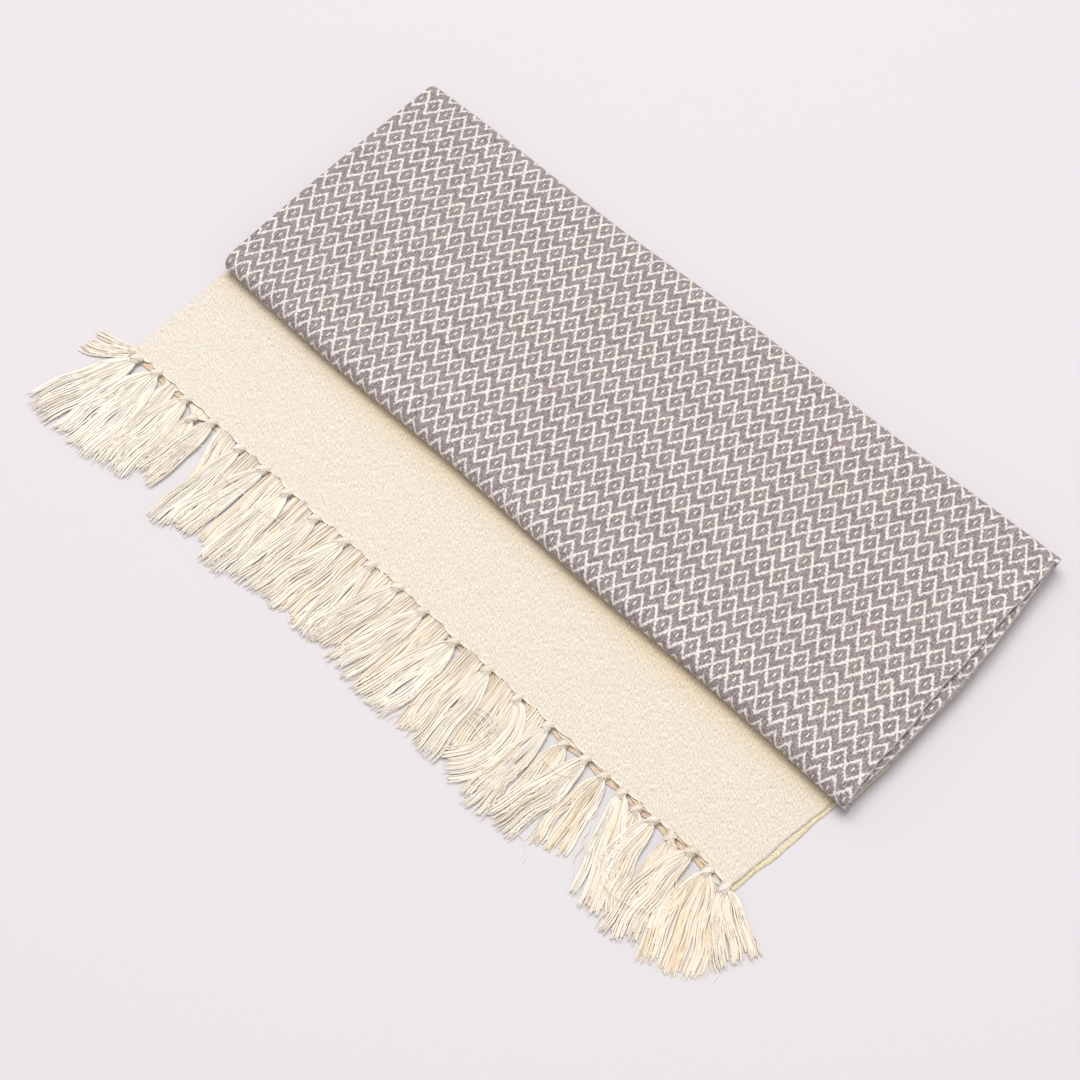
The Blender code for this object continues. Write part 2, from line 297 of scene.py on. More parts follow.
USUAL_WIDTH = 20.0
CROWDING = 0.7  # how a tassel's number of strands goes with its width
SKIRT_STEPS = 13
FLARE = 3.4  # how soon a tassel opens out
OPENING = 1.1  # how soon its strands have spread: one is at their tips
FALLEN_BY = 0.55  # where they have come down to rest
ROOT_IN = 1.5  # how far inside the cloth a strand starts
ROOT_GIRTH = 0.6
NECK_ABOVE = 2.2  # where the strands gather, above the middle of the knot
NECK_FULLER = 1.3
TIP_FROM = 0.93  # where the yarn frays thinner
TIP_GIRTH = 0.75
BUNDLES = 3  # a tassel's strands lie in a few loose bundles
BUNDLE_SHARE = 0.35  # how much the bundle rather than the strand says where its tip lies
BUNDLE_SHIFT = 0.12
BUNDLE_WAVE = (0.3, 1.0)
BUNDLE_WAVE_LENGTH = (26.0, 46.0)
BUNDLE_LONGER = (-2.5, 2.0)
UNEVEN_LENGTH = 1.0
UNEVEN_TIP = 0.10
STRAND_WAVE = (0.02, 0.14)
STRAY_WAVE = (0.5, 1.2)
STRAND_WAVE_LENGTH = 11.0
BUNDLE_WAVE_BY = 0.5  # where a bundle's wave has grown full, and a strand's own
STRAND_WAVE_BY = 0.4
STRAY_TIP = 1.35  # a stray leaves its bundle by this much
STRAND_LIFT = (0.0, 0.5)
STRAND_DEPTH = (0.15, 1.0)
CORE_STRANDS = 10  # thick yarns drawn for the bulk of a tassel, under its strands, in the deepest painted shade
CORE_GIRTH = 2.6
CORE_STACK = -0.7
CORE_WIDTH = 0.93
CORE_SHORTER = 3.0

# Tone of a yarn: zero is the painted shade of yarn deep in a tassel and one is light
DEEP_TONE = 0.62
TONE_RISE = 0.38  # painted shade, from the deepest strand to the outermost
EVEN_SHARE = 0.8  # share of the strands that keep to that
ODD_TONE = (0.4, 1.1)
KNOT_TONE = (0.75, 1.0)
OUTER_TONE = (0.9, 1.1)
LIGHT_FROM_LEFT = 0.32  # painted light: the fringe is a little paler towards the left fold
SLUB_LENGTH = 5.0  # thicker and thinner stretches of the yarn, and its own fuzz
SLUB_TONE = 0.3
FUZZ_SIZE = 0.5
FUZZ_STRENGTH = 0.3
FUZZ_HEIGHT = 0.1
SHADE_REACH = 7.0  # how far out the painted shade at the yarn's roots carries

KNOT_HALF_WIDTH = 2.75
KNOT_HALF_HEIGHT = 2.3
KNOT_HALF_LENGTH = 3.7
KNOT_WRAPS = 8
KNOT_CROSSINGS = 4
KNOT_YARN = 1.2  # the knot's yarns lie in pairs, so they are drawn thicker
KNOT_RING_STEPS = 14
KNOT_SIZE = (0.92, 1.08)
KNOT_GIRTH = (0.95, 1.06)
KNOT_ROUND = 0.72  # how much the knot narrows towards its two ends
KNOT_SLANT = 1.1
KNOT_LOWEST = 0.4
CROSSING_OUT = 1.02  # the crossings lie over the wraps
CROSSING_UP = 1.12
CROSSING_SPREAD = 1.3
CROSSING_SLANT = 0.85

# Camera, seen from the middle of the towel's top
AIM = (271.9, -38.7, 17.2)
CAMERA_DISTANCE = 1441.8
CAMERA_AZIMUTH = 40.24
CAMERA_ELEVATION = 60.39
CAMERA_ROLL = 1.27
LENS = 85.0
SENSOR = 36.0
CLIP_START = 0.05
KEY_SIZE = 2.4  # the large soft light and where it hangs, in metres
KEY_PLACE = (-0.35, 0.5, 3.3)
CARD_GRAIN = 1.5  # the floor's faint grain: its size in millimetres, and its shade
CARD_GRAIN_SHADE = 0.985


def linear(colour):
    """An sRGB hex colour as linear red, green, blue and an alpha of one."""
    channels = [int(colour[place:place + 2], 16) / 255.0 for place in (1, 3, 5)]
    return tuple(c / 12.92 if c <= 0.04045 else ((c + 0.055) / 1.055) ** 2.4
                 for c in channels) + (1.0,)


# ---------------------------------------------------------------- the folds

def back_fold(x):
    """Middle of the back turns at a place across the cloth."""
    return BACK_FOLD_Y - BACK_FOLD_SLOPE * x + FOLD_WAVE * math.sin(TURN * x / FOLD_WAVE_LENGTH)


def front_fold(x):
    """Middle of the front turns."""
    return FRONT_FOLD_Y - FRONT_FOLD_SLOPE * x + \
        FOLD_WAVE * math.sin(TURN * x / FOLD_WAVE_LENGTH + 2.0)


def cloth_end(x):
    """Where the weaving stops and the fringe begins."""
    return CLOTH_END_Y - CLOTH_END_SLOPE * x


def frame_shift():
    """From the towel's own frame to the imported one, in millimetres."""
    low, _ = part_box("towel_cloth")
    leftmost = PASSES[0][1]
    foremost = cloth_end(FOLDED_WIDTH + PASSES[0][4])
    return Vector((low.x / MM - leftmost, low.y / MM - foremost, 0.0))


SHIFT = frame_shift()


def to_frame(x, y, z):
    """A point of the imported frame, in metres."""
    return (Vector((x, y, z)) + SHIFT) * MM


def height(level, x, y):
    """Middle height of a pass, with the soft swell of the stack and the lifted selvedge."""
    swell = TOP_SWELL * math.sin(TURN * x / SWELL_ALONG) * math.cos(TURN * y / SWELL_DEEP)
    z = DOUBLED / 2.0 + level * PASS_PITCH + swell * level / TOP_LEVEL
    if level == TOP_LEVEL:
        near_selvedge = max(0.0, 1.0 - (FOLDED_WIDTH - x) / LIFT_WIDTH)
        z += TOP_LIFT * near_selvedge ** 2
    return z


def side(values, part):
    """A side's place along a pass, smoothly through its start, middle and end."""
    start, middle, end = values
    return start * (1.0 - part) * (1.0 - 2.0 * part) + middle * 4.0 * part * (1.0 - part) + \
        end * part * (2.0 * part - 1.0)


def place(kind, index, part, x):
    """Middle of the doubled cloth at a station, as y and z, and its inward normal."""
    towards_back = index % 2 == 0
    level = PASSES[index][0]
    if kind == "turn":
        centre_y = back_fold(x) if towards_back else front_fold(x)
        z_here = height(level, x, centre_y)
        z_next = height(PASSES[index + 1][0], x, centre_y)
        radius = abs(z_next - z_here) / 2.0
        angle = math.pi * (part - 0.5)
        outward = 1.0 if towards_back else -1.0
        y = centre_y + outward * radius * math.cos(angle)
        z = (z_here + z_next) / 2.0 + outward * radius * math.sin(angle)
        return y, z, -outward * math.cos(angle), -outward * math.sin(angle)
    first = cloth_end(x) - END_OUT if index == 0 else front_fold(x)
    last = back_fold(x)
    if index == len(PASSES) - 1:
        last -= HIDDEN_END_SHORT
    if not towards_back:
        first, last = last, front_fold(x)
    y = first + part * (last - first)
    return y, height(level, x, y), 0.0, 1.0 if towards_back else -1.0


def sides(kind, index, part):
    """Left fold and selvedge of the cloth at a station."""
    here = PASSES[index]
    if kind == "pass":
        return side(here[1:4], part), FOLDED_WIDTH + side(here[4:7], part)
    following = PASSES[index + 1]
    left = here[3] + part * (following[1] - here[3])
    right = here[6] + part * (following[4] - here[6])
    return left, FOLDED_WIDTH + right


def stations():
    """Each cross-row of the cloth as (kind, index, part), from the fringe to the hidden end."""
    rows = []
    for index in range(len(PASSES)):
        steps = PASS_ROWS.get(index, OTHER_PASS_ROWS)
        crowd = END_ROWS_CROWD if index == 0 else 1.0
        rows += [("pass", index, (step / steps) ** crowd) for step in range(steps + 1)]
        if index + 1 < len(PASSES):
            steps = TURN_ROWS.get(index, OTHER_TURN_ROWS)
            rows += [("turn", index, step / steps) for step in range(1, steps)]
    return rows


def across():
    """Columns from the outer selvedge round the left fold to the inner one.

    Each is (share of the way from fold to selvedge, hairpin angle).
    """
    def shares(count):
        return [1.0 - (step / count) ** SELVEDGE_CROWD for step in range(count + 1)]

    outer = [(share, -math.pi / 2.0) for share in shares(OUTER_COLUMNS)]
    bend = [(0.0, math.pi * (step / HAIRPIN_COLUMNS - 0.5)) for step in range(1, HAIRPIN_COLUMNS)]
    inner = [(share, math.pi / 2.0) for share in reversed(shares(INNER_COLUMNS))]
    return outer + bend + inner


def swell(x, y):
    """Height of the soft troughs and ridges at a place on the top."""
    total = 0.0
    for centre_x, centre_y, half_length, half_width, turned, rise in SWELLS:
        angle = math.radians(turned)
        along = (x - centre_x) * math.cos(angle) + (y - centre_y) * math.sin(angle)
        beside = (y - centre_y) * math.cos(angle) - (x - centre_x) * math.sin(angle)
        total += rise * math.exp(-(along / half_length) ** 2 - (beside / half_width) ** 2)
    return total


def knot_phase(row, x):
    """How near a place is to a knot of the row: one at a knot, zero midway between two."""
    places = [entry[0] for entry in row]
    for before, after in zip(places, places[1:]):
        if x <= after:
            return 0.5 + 0.5 * math.cos(TURN * max(0.0, x - before) / (after - before))
    return 1.0


def lay(station, share, angle):
    """One point of the cloth's middle surface, in the towel's own millimetres."""
    kind, index, part = station
    left, right = sides(kind, index, part)
    bend_centre = left + HAIRPIN_RADIUS + SHEET / 2.0
    x = bend_centre + share * (right - bend_centre) - HAIRPIN_RADIUS * math.cos(angle)
    y, z, normal_y, normal_z = place(kind, index, part, x)
    upper = math.sin(angle)
    y += HAIRPIN_RADIUS * upper * normal_y
    z += HAIRPIN_RADIUS * upper * normal_z
    z += swell(x, y) * z / STACK_TOP
    wander = sum(rise * math.sin(turn * y + shift * index + half * upper)
                 for turn, shift, half, rise in SELVEDGE_WAVES)
    edge = max(0.0, share - SELVEDGE_FROM) / (1.0 - SELVEDGE_FROM)
    x += edge ** 3 * (wander - (BAND_SPLIT if index == 0 else SELVEDGE_SPLIT) * upper)
    if kind == "pass" and index == 0:
        from_end = y - cloth_end(x) + END_OUT
        near_end = math.exp(-(from_end / BAND_RIPPLE_REACH) ** 2)
        at_knot = knot_phase(UPPER_ROW if upper > 0.0 else LOWER_ROW, x)
        y -= near_end * (END_DRAWN * at_knot + (LOWER_LONGER if upper < 0.0 else 0.0))
        z += BAND_RIPPLE * near_end * at_knot * (0.5 + 0.5 * upper)
    return Vector((x, y, z))


def flat_sizes(rows, columns, grid):
    """Flat place of each point: across the cloth, and along it from the woven end."""
    lengths = []
    for column in range(len(columns)):
        length = 0.0
        line = [0.0]
        for before, after in zip(grid, grid[1:]):
            length += (after[column] - before[column]).length
            line.append(length)
        lengths.append(line)
    middle_row = rows.index(("pass", 1, 0.5))
    first = lengths[-1][middle_row] + grid[middle_row][-1].y
    flat = []
    for row in range(len(rows)):
        line = []
        for column, (share, angle) in enumerate(columns):
            shear = first - grid[middle_row][column].y - lengths[column][middle_row]
            half = FLAT_WIDTH / MM / 2.0
            span = half * (1.0 - share) if angle < 0.0 else half * (1.0 + share)
            line.append((span, lengths[column][row] + shear))
        flat.append(line)
    return flat, first


# ---------------------------------------------------------------- making things

def new_object(name, mesh, material):
    """Put a finished mesh into the scene as a named object."""
    mesh.materials.clear()
    mesh.materials.append(material)
    item = bpy.data.objects.new(name, mesh)
    bpy.context.scene.collection.objects.link(item)
    return item


def yarn_object(name, yarns, thickness, material):
    """Many yarns as one mesh.

    Each is (points with a share of the thickness, tone, how much painted shade darkens its
    tone at the woven end, closed).
    """
    curve = bpy.data.curves.new(name, "CURVE")
    curve.dimensions = "3D"
    curve.bevel_depth = thickness / 2.0
    curve.bevel_resolution = 0
    curve.use_fill_caps = True
    tones = []
    for points, tone, end_shade, closed in yarns:
        spline = curve.splines.new("POLY")
        spline.points.add(len(points) - 1)
        for target, (x, y, z, share) in zip(spline.points, points):
            target.co = (*to_frame(x, y, z), 1.0)
            target.radius = share
        spline.use_cyclic_u = closed
        # painted shade: the tone darkens towards the woven end, where the cloth's edge shades the
        # roots
        line = [tone - end_shade * math.exp(min(0.0, y - cloth_end(x) + END_OUT) / SHADE_REACH)
                for x, y, _, _ in points]
        tones += [value for value in line for _ in range(4)]
        if not closed:
            tones += [line[0]] * 4 + [line[-1]] * 4
    source = bpy.data.objects.new(name + "_line", curve)
    mesh = bpy.data.meshes.new_from_object(source)
    bpy.data.objects.remove(source)
    bpy.data.curves.remove(curve)
    mesh.name = name
    attribute = mesh.attributes.new("tone", "FLOAT", "POINT")
    if len(tones) != len(mesh.vertices):
        raise RuntimeError(f"{name}: {len(mesh.vertices)} vertices, {len(tones)} tones")
    attribute.data.foreach_set("value", tones)
    mesh.shade_smooth()
    return new_object(name, mesh, material)


# ---------------------------------------------------------------- materials

def add(tree, kind, *inputs, **settings):
    """Add a node with its settings, feed its inputs in order, and return its first output."""
    node = tree.nodes.new("ShaderNode" + kind)
    for name, value in settings.items():
        setattr(node, name, value)
    sockets = [socket for socket in node.inputs if socket.enabled]
    for socket, value in zip(sockets, inputs):
        if isinstance(value, bpy.types.NodeSocket):
            tree.links.new(value, socket)
        elif value is not None:
            socket.default_value = value
    return next(socket for socket in node.outputs if socket.enabled)


def work_out(tree, values, steps):
    """Turn a table of sums into Math nodes: each step is (result, operation, terms)."""
    for name, operation, *terms in steps:
        inputs = [values.get(term, term) for term in terms]
        values[name] = add(tree, "Math", *inputs, operation=operation)


def new_material(name, roughness, sheen):
    """An empty cotton material: its tree, shader and the material."""
    material = bpy.data.materials.new(name)
    material.use_nodes = True
    shader = material.node_tree.nodes["Principled BSDF"]
    shader.inputs["Roughness"].default_value = roughness
    shader.inputs["IOR"].default_value = 1.5
    shader.inputs["Specular IOR Level"].default_value = 0.25
    shader.inputs["Sheen Weight"].default_value = sheen
    shader.inputs["Sheen Roughness"].default_value = 0.5
    return material.node_tree, shader, material


# Which yarn shows where, in repeats across (u) and rows along (v)
DIAMONDS = (
    ("u", "DIVIDE", "end", float(ENDS_PER_REPEAT)),
    ("pick_mid", "ADD", "pick", 0.5),
    ("v", "DIVIDE", "pick_mid", float(PICKS_PER_ROW)),
    ("row", "ROUND", "v"),
    ("off_row", "SUBTRACT", "v", "row"),
    ("dv", "ABSOLUTE", "off_row"),
    ("odd", "FLOORED_MODULO", "row", 2.0),
    ("u_near", "ROUND", "u"),
    ("u_off", "SUBTRACT", "u", "u_near"),
    ("u_away", "ABSOLUTE", "u_off"),
    ("fold", "MULTIPLY", "u_away", 2.0),
    ("even", "SUBTRACT", 1.0, "odd"),
    ("fold_off", "SUBTRACT", "fold", "even"),
    ("tri", "ABSOLUTE", "fold_off"),
    ("tri_rest", "SUBTRACT", 1.0, "tri"),
    ("rise", "MULTIPLY", "tri_rest", DIAMOND_RISE),
    ("near_off", "SUBTRACT", "dv", "rise"),
    ("near_line", "ABSOLUTE", "near_off"),
    ("fall", "MULTIPLY", "tri", DIAMOND_RISE),
    ("dv_rest", "SUBTRACT", 1.0, "dv"),
    ("far_off", "SUBTRACT", "dv_rest", "fall"),
    ("far_line", "ABSOLUTE", "far_off"),
    ("to_line_a", "MINIMUM", "near_line", "far_line"),
    ("to_line", "MULTIPLY_ADD", "crossing", LINE_RAGGED, "to_line_a"),
    ("line", "LESS_THAN", "to_line", LINE_HALF),
    ("middle", "LESS_THAN", "tri", DASH_WIDTH),
    ("dash_off", "ADD", "off_row", DASH_LOW),
    ("dash_away", "ABSOLUTE", "dash_off"),
    ("short", "LESS_THAN", "dash_away", DASH_HALF),
    ("dash", "MULTIPLY", "middle", "short"),
    ("warp_up", "MAXIMUM", "line", "dash"),
)
# Small tie-downs: at every sixth crossing the other yarn shows, a half step on in each next thread
TIES = (
    ("warp_sum", "MULTIPLY_ADD", "pick", TIE_STEP, "end"),
    ("warp_step", "FLOORED_MODULO", "warp_sum", TIE_EVERY),
    ("warp_tie", "LESS_THAN", "warp_step", 0.5),
    ("weft_sum", "MULTIPLY_ADD", "end", TIE_STEP, "pick"),
    ("weft_step", "FLOORED_MODULO", "weft_sum", TIE_EVERY),
    ("weft_tie", "LESS_THAN", "weft_step", 0.5),
    ("weft_up", "SUBTRACT", 1.0, "warp_up"),
    ("warp_spot", "MULTIPLY", "warp_tie", "weft_up"),
    ("warp_tint", "MULTIPLY", "warp_spot", WARP_TIE),
    ("weft_spot", "MULTIPLY", "weft_tie", "line"),
    ("weft_tint", "MULTIPLY", "weft_spot", WEFT_TIE),
    ("warp_less", "SUBTRACT", "warp_up", "weft_tint"),
    ("warp_share", "ADD", "warp_less", "warp_tint"),
)
# Thread tops, rounded: one on the crown of a thread and zero half a thread away, between two
CROWNS = (
    ("end_part", "SUBTRACT", "ends", "end"),
    ("end_square", "MULTIPLY", "end_part", "end_part"),
    ("end_drop", "MULTIPLY", "end_square", 4.0),
    ("warp_crown", "SUBTRACT", 1.0, "end_drop"),
    ("pick_part", "SUBTRACT", "picks", "pick_mid"),
    ("pick_square", "MULTIPLY", "pick_part", "pick_part"),
    ("pick_drop", "MULTIPLY", "pick_square", 4.0),
    ("weft_crown", "SUBTRACT", 1.0, "pick_drop"),
    ("warp_tall", "ADD", "warp_crown", WARP_TALLER),
    ("warp_part", "MULTIPLY", "warp_tall", "warp_share"),
    ("weft_share", "SUBTRACT", 1.0, "warp_share"),
    ("weft_part", "MULTIPLY", "weft_crown", "weft_share"),
    ("thread", "ADD", "warp_part", "weft_part"),
)
# Places counted from the nearer woven end and the nearer selvedge
BANDS = (
    ("from_far_end", "SUBTRACT", FLAT_LENGTH + BAND_TO_SPARE, "along"),
    ("from_end", "MINIMUM", "along", "from_far_end"),
    ("in_band", "LESS_THAN", "from_end", BAND_LENGTH * MM),
    ("from_far_side", "SUBTRACT", FLAT_WIDTH, "across"),
    ("from_side", "MINIMUM", "across", "from_far_side"),
    ("in_selvedge", "LESS_THAN", "from_side", SELVEDGE_BAND * MM),
    ("band_edge", "LESS_THAN", "from_side", BAND_SELVEDGE * MM),
    # painted shade: tan under the fold and towards the selvedges
    ("tan_from", "SUBTRACT", "from_end", FOLD_SHADE_START * MM),
    ("tan_part", "DIVIDE", "tan_from", FOLD_SHADE_REACH * MM),
    ("tan_low", "MAXIMUM", "tan_part", 0.0),
    ("tan_high", "MINIMUM", "tan_low", 1.0),
    ("tan_fold", "MULTIPLY", "tan_high", "tan_high"),
    ("towards_side", "SUBTRACT", "across", FLAT_WIDTH / 2.0),
    ("tan_side", "MULTIPLY", "towards_side", SIDE_SHADE),
    ("tan", "MAXIMUM", "tan_fold", "tan_side"),
    ("lower_half", "LESS_THAN", "across", FLAT_WIDTH / 2.0),
    # painted shade on the lower half's selvedge, under the upper half
    ("golden_edge", "MULTIPLY", "lower_half", "band_edge"),
    ("last_picks", "LESS_THAN", "from_end", SHADED_END * MM),
    ("inside", "GREATER_THAN", "from_side", SHADED_FROM_SIDE * MM),
    ("lower_picks", "MULTIPLY", "lower_half", "last_picks"),
    ("shaded_end", "MULTIPLY", "lower_picks", "inside"),
    ("half_end", "DIVIDE", "end", 2.0),
    ("bond", "MULTIPLY_ADD", "pick", 0.5, "half_end"),
    ("brick", "FLOOR", "bond"),
    ("cell_u", "MULTIPLY_ADD", "even", 0.5, "u"),
    ("cell", "ROUND", "cell_u"),
    ("streaks", "MULTIPLY", "picks", SELVEDGE_STREAK),
)
SHADES = (
    ("grain_depth", "MULTIPLY_ADD", "warp_up", WARP_GRAIN - WEFT_GRAIN, WEFT_GRAIN),
    ("grain_low", "MULTIPLY_ADD", "grain_depth", -0.5, GRAIN_BASE),
    ("grain_fine", "MULTIPLY_ADD", "crossing", CROSSING_GRAIN, "grain_low"),
    ("grain", "MULTIPLY_ADD", "pair", "grain_depth", "grain_fine"),
    ("end_grain", "MULTIPLY_ADD", "each_end", END_GRAIN, 1.0 - END_GRAIN / 2.0),
    ("pick_grain", "MULTIPLY_ADD", "each_pick", PICK_GRAIN, 1.0 - PICK_GRAIN / 2.0),
    ("tone_a", "MULTIPLY", "grain", "end_grain"),
    ("tone", "MULTIPLY", "tone_a", "pick_grain"),
    # painted shade: darker between two threads and on the weft, which lies lower than the warp
    ("crown", "MULTIPLY_ADD", "thread", CROWN_SHADE, CROWN_BASE),
    ("wove_a", "MULTIPLY", "tone", "crown"),
    ("wove", "MULTIPLY_ADD", "dash", DASH_BRIGHTER, "wove_a"),
    # painted shade and highlight along the band's floats
    ("float_tone", "MULTIPLY_ADD", "floats", FLOAT_SHADE, FLOAT_BASE),
    ("band_grain", "MULTIPLY_ADD", "crossing", BAND_GRAIN, 1.0 - BAND_GRAIN / 2.0),
    ("band_shade", "MULTIPLY", "float_tone", "band_grain"),
    ("band_more", "SUBTRACT", "band_shade", "wove"),
    ("shade", "MULTIPLY_ADD", "band_more", "in_band", "wove"),
    ("one", "MINIMUM", "shade", BRIGHTEST),
)
RELIEF = (
    ("crepe_share", "MULTIPLY_ADD", "in_band", CREPE_RELIEF_BAND - CREPE_RELIEF, CREPE_RELIEF),
    ("crepe_only", "MULTIPLY", "crepe", "crepe_share"),
    ("float_share", "MULTIPLY_ADD", "in_band", FLOAT_RELIEF_BAND - FLOAT_RELIEF, FLOAT_RELIEF),
    ("crepe_lift", "MULTIPLY_ADD", "floats", "float_share", "crepe_only"),
    ("rough_a", "MULTIPLY_ADD", "wrinkle", WRINKLE_RELIEF, "crepe_lift"),
    ("relief_a", "MULTIPLY_ADD", "thread", THREAD_RELIEF, "rough_a"),
    ("relief", "MULTIPLY_ADD", "crossing", CROSSING_RELIEF, "relief_a"),
)


def woven_material(first, settings):
    """Cotton towel cloth woven in fine 2-ply yarn, washed and not pressed.

    To the eye it is matt and a little fuzzy: cream warp draws diamonds and zigzags over a
    grey weft, each thread steps the lines by its own width, and the plain end band shows the
    same weave only as grain. Painted shade darkens the colour between threads, in under the
    fold, towards the selvedges and along the band's lower selvedge, and painted shade and
    highlight follow the band's floats.
    """
    tree, shader, material = new_material("woven_cotton_diamond", 0.92, 0.25)
    flat = add(tree, "UVMap", uv_map="flat")
    separate = add(tree, "SeparateXYZ", flat).node
    rows_before = 2.0 * math.ceil(first / REPEAT_LENGTH / 2.0)
    ends_before = (REPEATS_ACROSS - CENTRE_END) * ENDS_PER_REPEAT
    picks_before = (rows_before - first / REPEAT_LENGTH) * PICKS_PER_ROW
    values = {"across": separate.outputs["X"], "along": separate.outputs["Y"]}
    work_out(tree, values, (
        ("end_count", "DIVIDE", "across", REPEAT_WIDTH * MM / ENDS_PER_REPEAT),
        ("ends", "ADD", "end_count", ends_before),
        ("pick_count", "DIVIDE", "along", REPEAT_LENGTH * MM / PICKS_PER_ROW),
        ("picks", "ADD", "pick_count", picks_before),
        ("end", "ROUND", "ends"),
        ("pick", "FLOOR", "picks"),
    ))

    def uneven(*places):
        """An even random share for each whole-numbered place in the weave."""
        spot = add(tree, "CombineXYZ", *places)
        return add(tree, "TexWhiteNoise", spot, noise_dimensions=f"{len(places)}D")

    def cloud(coordinates, scale, detail, roughness):
        """Soft noise over the flat cloth."""
        return add(tree, "TexNoise", coordinates, None, scale, detail, roughness,
                   noise_dimensions="2D")

    def blend(part, one, other):
        """One colour at a part of zero and the other at one."""
        return add(tree, "Mix", part, one, other, data_type="RGBA")

    values["crossing"] = uneven(values["end"], values["pick"])
    work_out(tree, values, DIAMONDS + TIES + CROWNS + BANDS)
    leaned = add(tree, "Mapping", flat, None, (0.0, 0.0, FLOAT_LEAN),
                 (FLOAT_WIDTH * MM, FLOAT_LENGTH * MM, 1.0), vector_type="TEXTURE")
    streaked = add(tree, "CombineXYZ", values["ends"], values["streaks"], 0.0)
    values.update(
        pair=uneven(values["brick"], values["pick"], PAIR_LOT),
        each_cell=uneven(values["cell"], values["row"], CELL_LOT),
        each_end=add(tree, "TexWhiteNoise", values["end"], noise_dimensions="1D"),
        each_pick=add(tree, "TexWhiteNoise", values["pick"], noise_dimensions="1D"),
        floats=cloud(leaned, 1.0, 1.0, 0.5),
        streak=cloud(streaked, 0.8, 1.0, 0.5),
        wrinkle=cloud(flat, 1.0 / (WRINKLE_SIZE * MM), 3.0, 0.6),
        crepe=cloud(flat, 1.0 / (CREPE_SIZE * MM), 2.0, 0.6),
    )
    work_out(tree, values, SHADES + RELIEF)

    weft = blend(values["each_cell"], settings.grey_weft, settings.mauve_weft)
    face = blend(values["warp_share"], weft, settings.white_warp)
    edge = blend(values["streak"], weft, settings.white_warp)
    face = blend(values["in_selvedge"], face, edge)
    band = blend(values["warp_share"], settings.cream_weft, settings.cream_warp)
    # painted shade on the end band: under the fold, towards the selvedges, on the lower selvedge
    # and on the last picks of the lower half
    band = blend(values["tan"], band, settings.under_fold_shade)
    band = blend(values["golden_edge"], band, settings.shaded_band_selvedge)
    band = blend(values["shaded_end"], band, settings.shaded_end)
    plain = blend(values["in_band"], face, band)
    grey = add(tree, "CombineColor", values["one"], values["one"], values["one"])
    colour = add(tree, "Mix", 1.0, plain, grey, data_type="RGBA", blend_type="MULTIPLY")
    tree.links.new(colour, shader.inputs["Base Color"])
    bump = add(tree, "Bump", RELIEF_STRENGTH, RELIEF_HEIGHT * MM, None, values["relief"])
    tree.links.new(bump, shader.inputs["Normal"])
    return material


def yarn_material(settings):
    """Combed cotton yarn, two-ply, unbleached: matt and soft-edged, with painted shade deep in the
    tassels and at their roots.
    """
    tree, shader, material = new_material("combed_cotton_yarn", 0.9, 0.5)
    tone = tree.nodes.new("ShaderNodeAttribute")
    tone.attribute_name = "tone"
    coordinates = add(tree, "TexCoord").node.outputs["Object"]
    slub = add(tree, "TexNoise", coordinates, None, 1.0 / (SLUB_LENGTH * MM), 2.0, 0.5)
    values = {"tone": tone.outputs["Fac"], "slub": slub}
    work_out(tree, values, (
        ("part", "MULTIPLY_ADD", "slub", SLUB_TONE, -SLUB_TONE / 2.0),
        ("share", "ADD", "tone", "part"),
    ))
    colour = add(tree, "Mix", values["share"], settings.shaded_yarn, settings.light_yarn,
                 data_type="RGBA")
    tree.links.new(colour, shader.inputs["Base Color"])
    fuzz = add(tree, "TexNoise", coordinates, None, 1.0 / (FUZZ_SIZE * MM), 2.0, 0.6)
    bump = add(tree, "Bump", FUZZ_STRENGTH, FUZZ_HEIGHT * MM, None, fuzz)
    tree.links.new(bump, shader.inputs["Normal"])
    return material


def card_material(settings):
    """Matt coated card, a studio floor: pale, even and without gloss."""
    tree, shader, material = new_material("matt_white_card", 0.85, 0.0)
    coordinates = add(tree, "TexCoord").node.outputs["Object"]
    grain = add(tree, "TexNoise", coordinates, None, 1.0 / (CARD_GRAIN * MM), 2.0, 0.5)
    low = tuple(CARD_GRAIN_SHADE * channel for channel in settings.card[:3]) + (1.0,)
    colour = add(tree, "Mix", grain, low, tuple(settings.card), data_type="RGBA")
    tree.links.new(colour, shader.inputs["Base Color"])
    return material


# ---------------------------------------------------------------- the fringe

def half_cloth_height(upper, x):
    """Height at which a strand leaves the cloth."""
    middle = DOUBLED / 2.0
    if not upper:
        return middle - HAIRPIN_RADIUS
    return middle + HAIRPIN_RADIUS + BAND_RIPPLE * knot_phase(UPPER_ROW, x)


def ease(part):
    """Smooth from zero to one."""
    part = min(1.0, max(0.0, part))
    return part * part * (3.0 - 2.0 * part)


def knot_y(tassel):
    """Where a tassel's knot sits, out from the woven end."""
    return cloth_end(tassel.place) - END_OUT - tassel.out


def strand_root(tassel, reach, lie, rank, stack):
    """A strand's points from inside the cloth to the middle of the knot."""
    root = rank * reach[rank > 0.0]
    x_root = tassel.place + root
    y_root = cloth_end(x_root) - END_OUT
    z_root = half_cloth_height(lie is UPPER_LIE, x_root)
    squeeze = 1.0 if tassel.neck > TUCKED_NECK else KNOT_SQUEEZE
    in_knot = squeeze * tassel.neck * rank
    x_neck = tassel.place - NECK_ABOVE * math.sin(math.radians(tassel.lean_knot)) + \
        NECK_FULLER * in_knot
    y_neck = knot_y(tassel) + NECK_ABOVE
    return [
        (x_root, y_root + ROOT_IN, z_root, ROOT_GIRTH),
        (x_root - 0.04 * root, y_root - 0.1, z_root + 0.1, 0.9),
        ((x_root + x_neck) / 2.0, (y_root + y_neck) / 2.0 - 0.5,
         z_root + 0.4 * (lie.knot - z_root) + 0.5 * stack, 1.0),
        (x_neck, y_neck, lie.knot + stack, 1.0),
        (tassel.place + in_knot, knot_y(tassel), lie.knot + stack, 0.9),
    ]


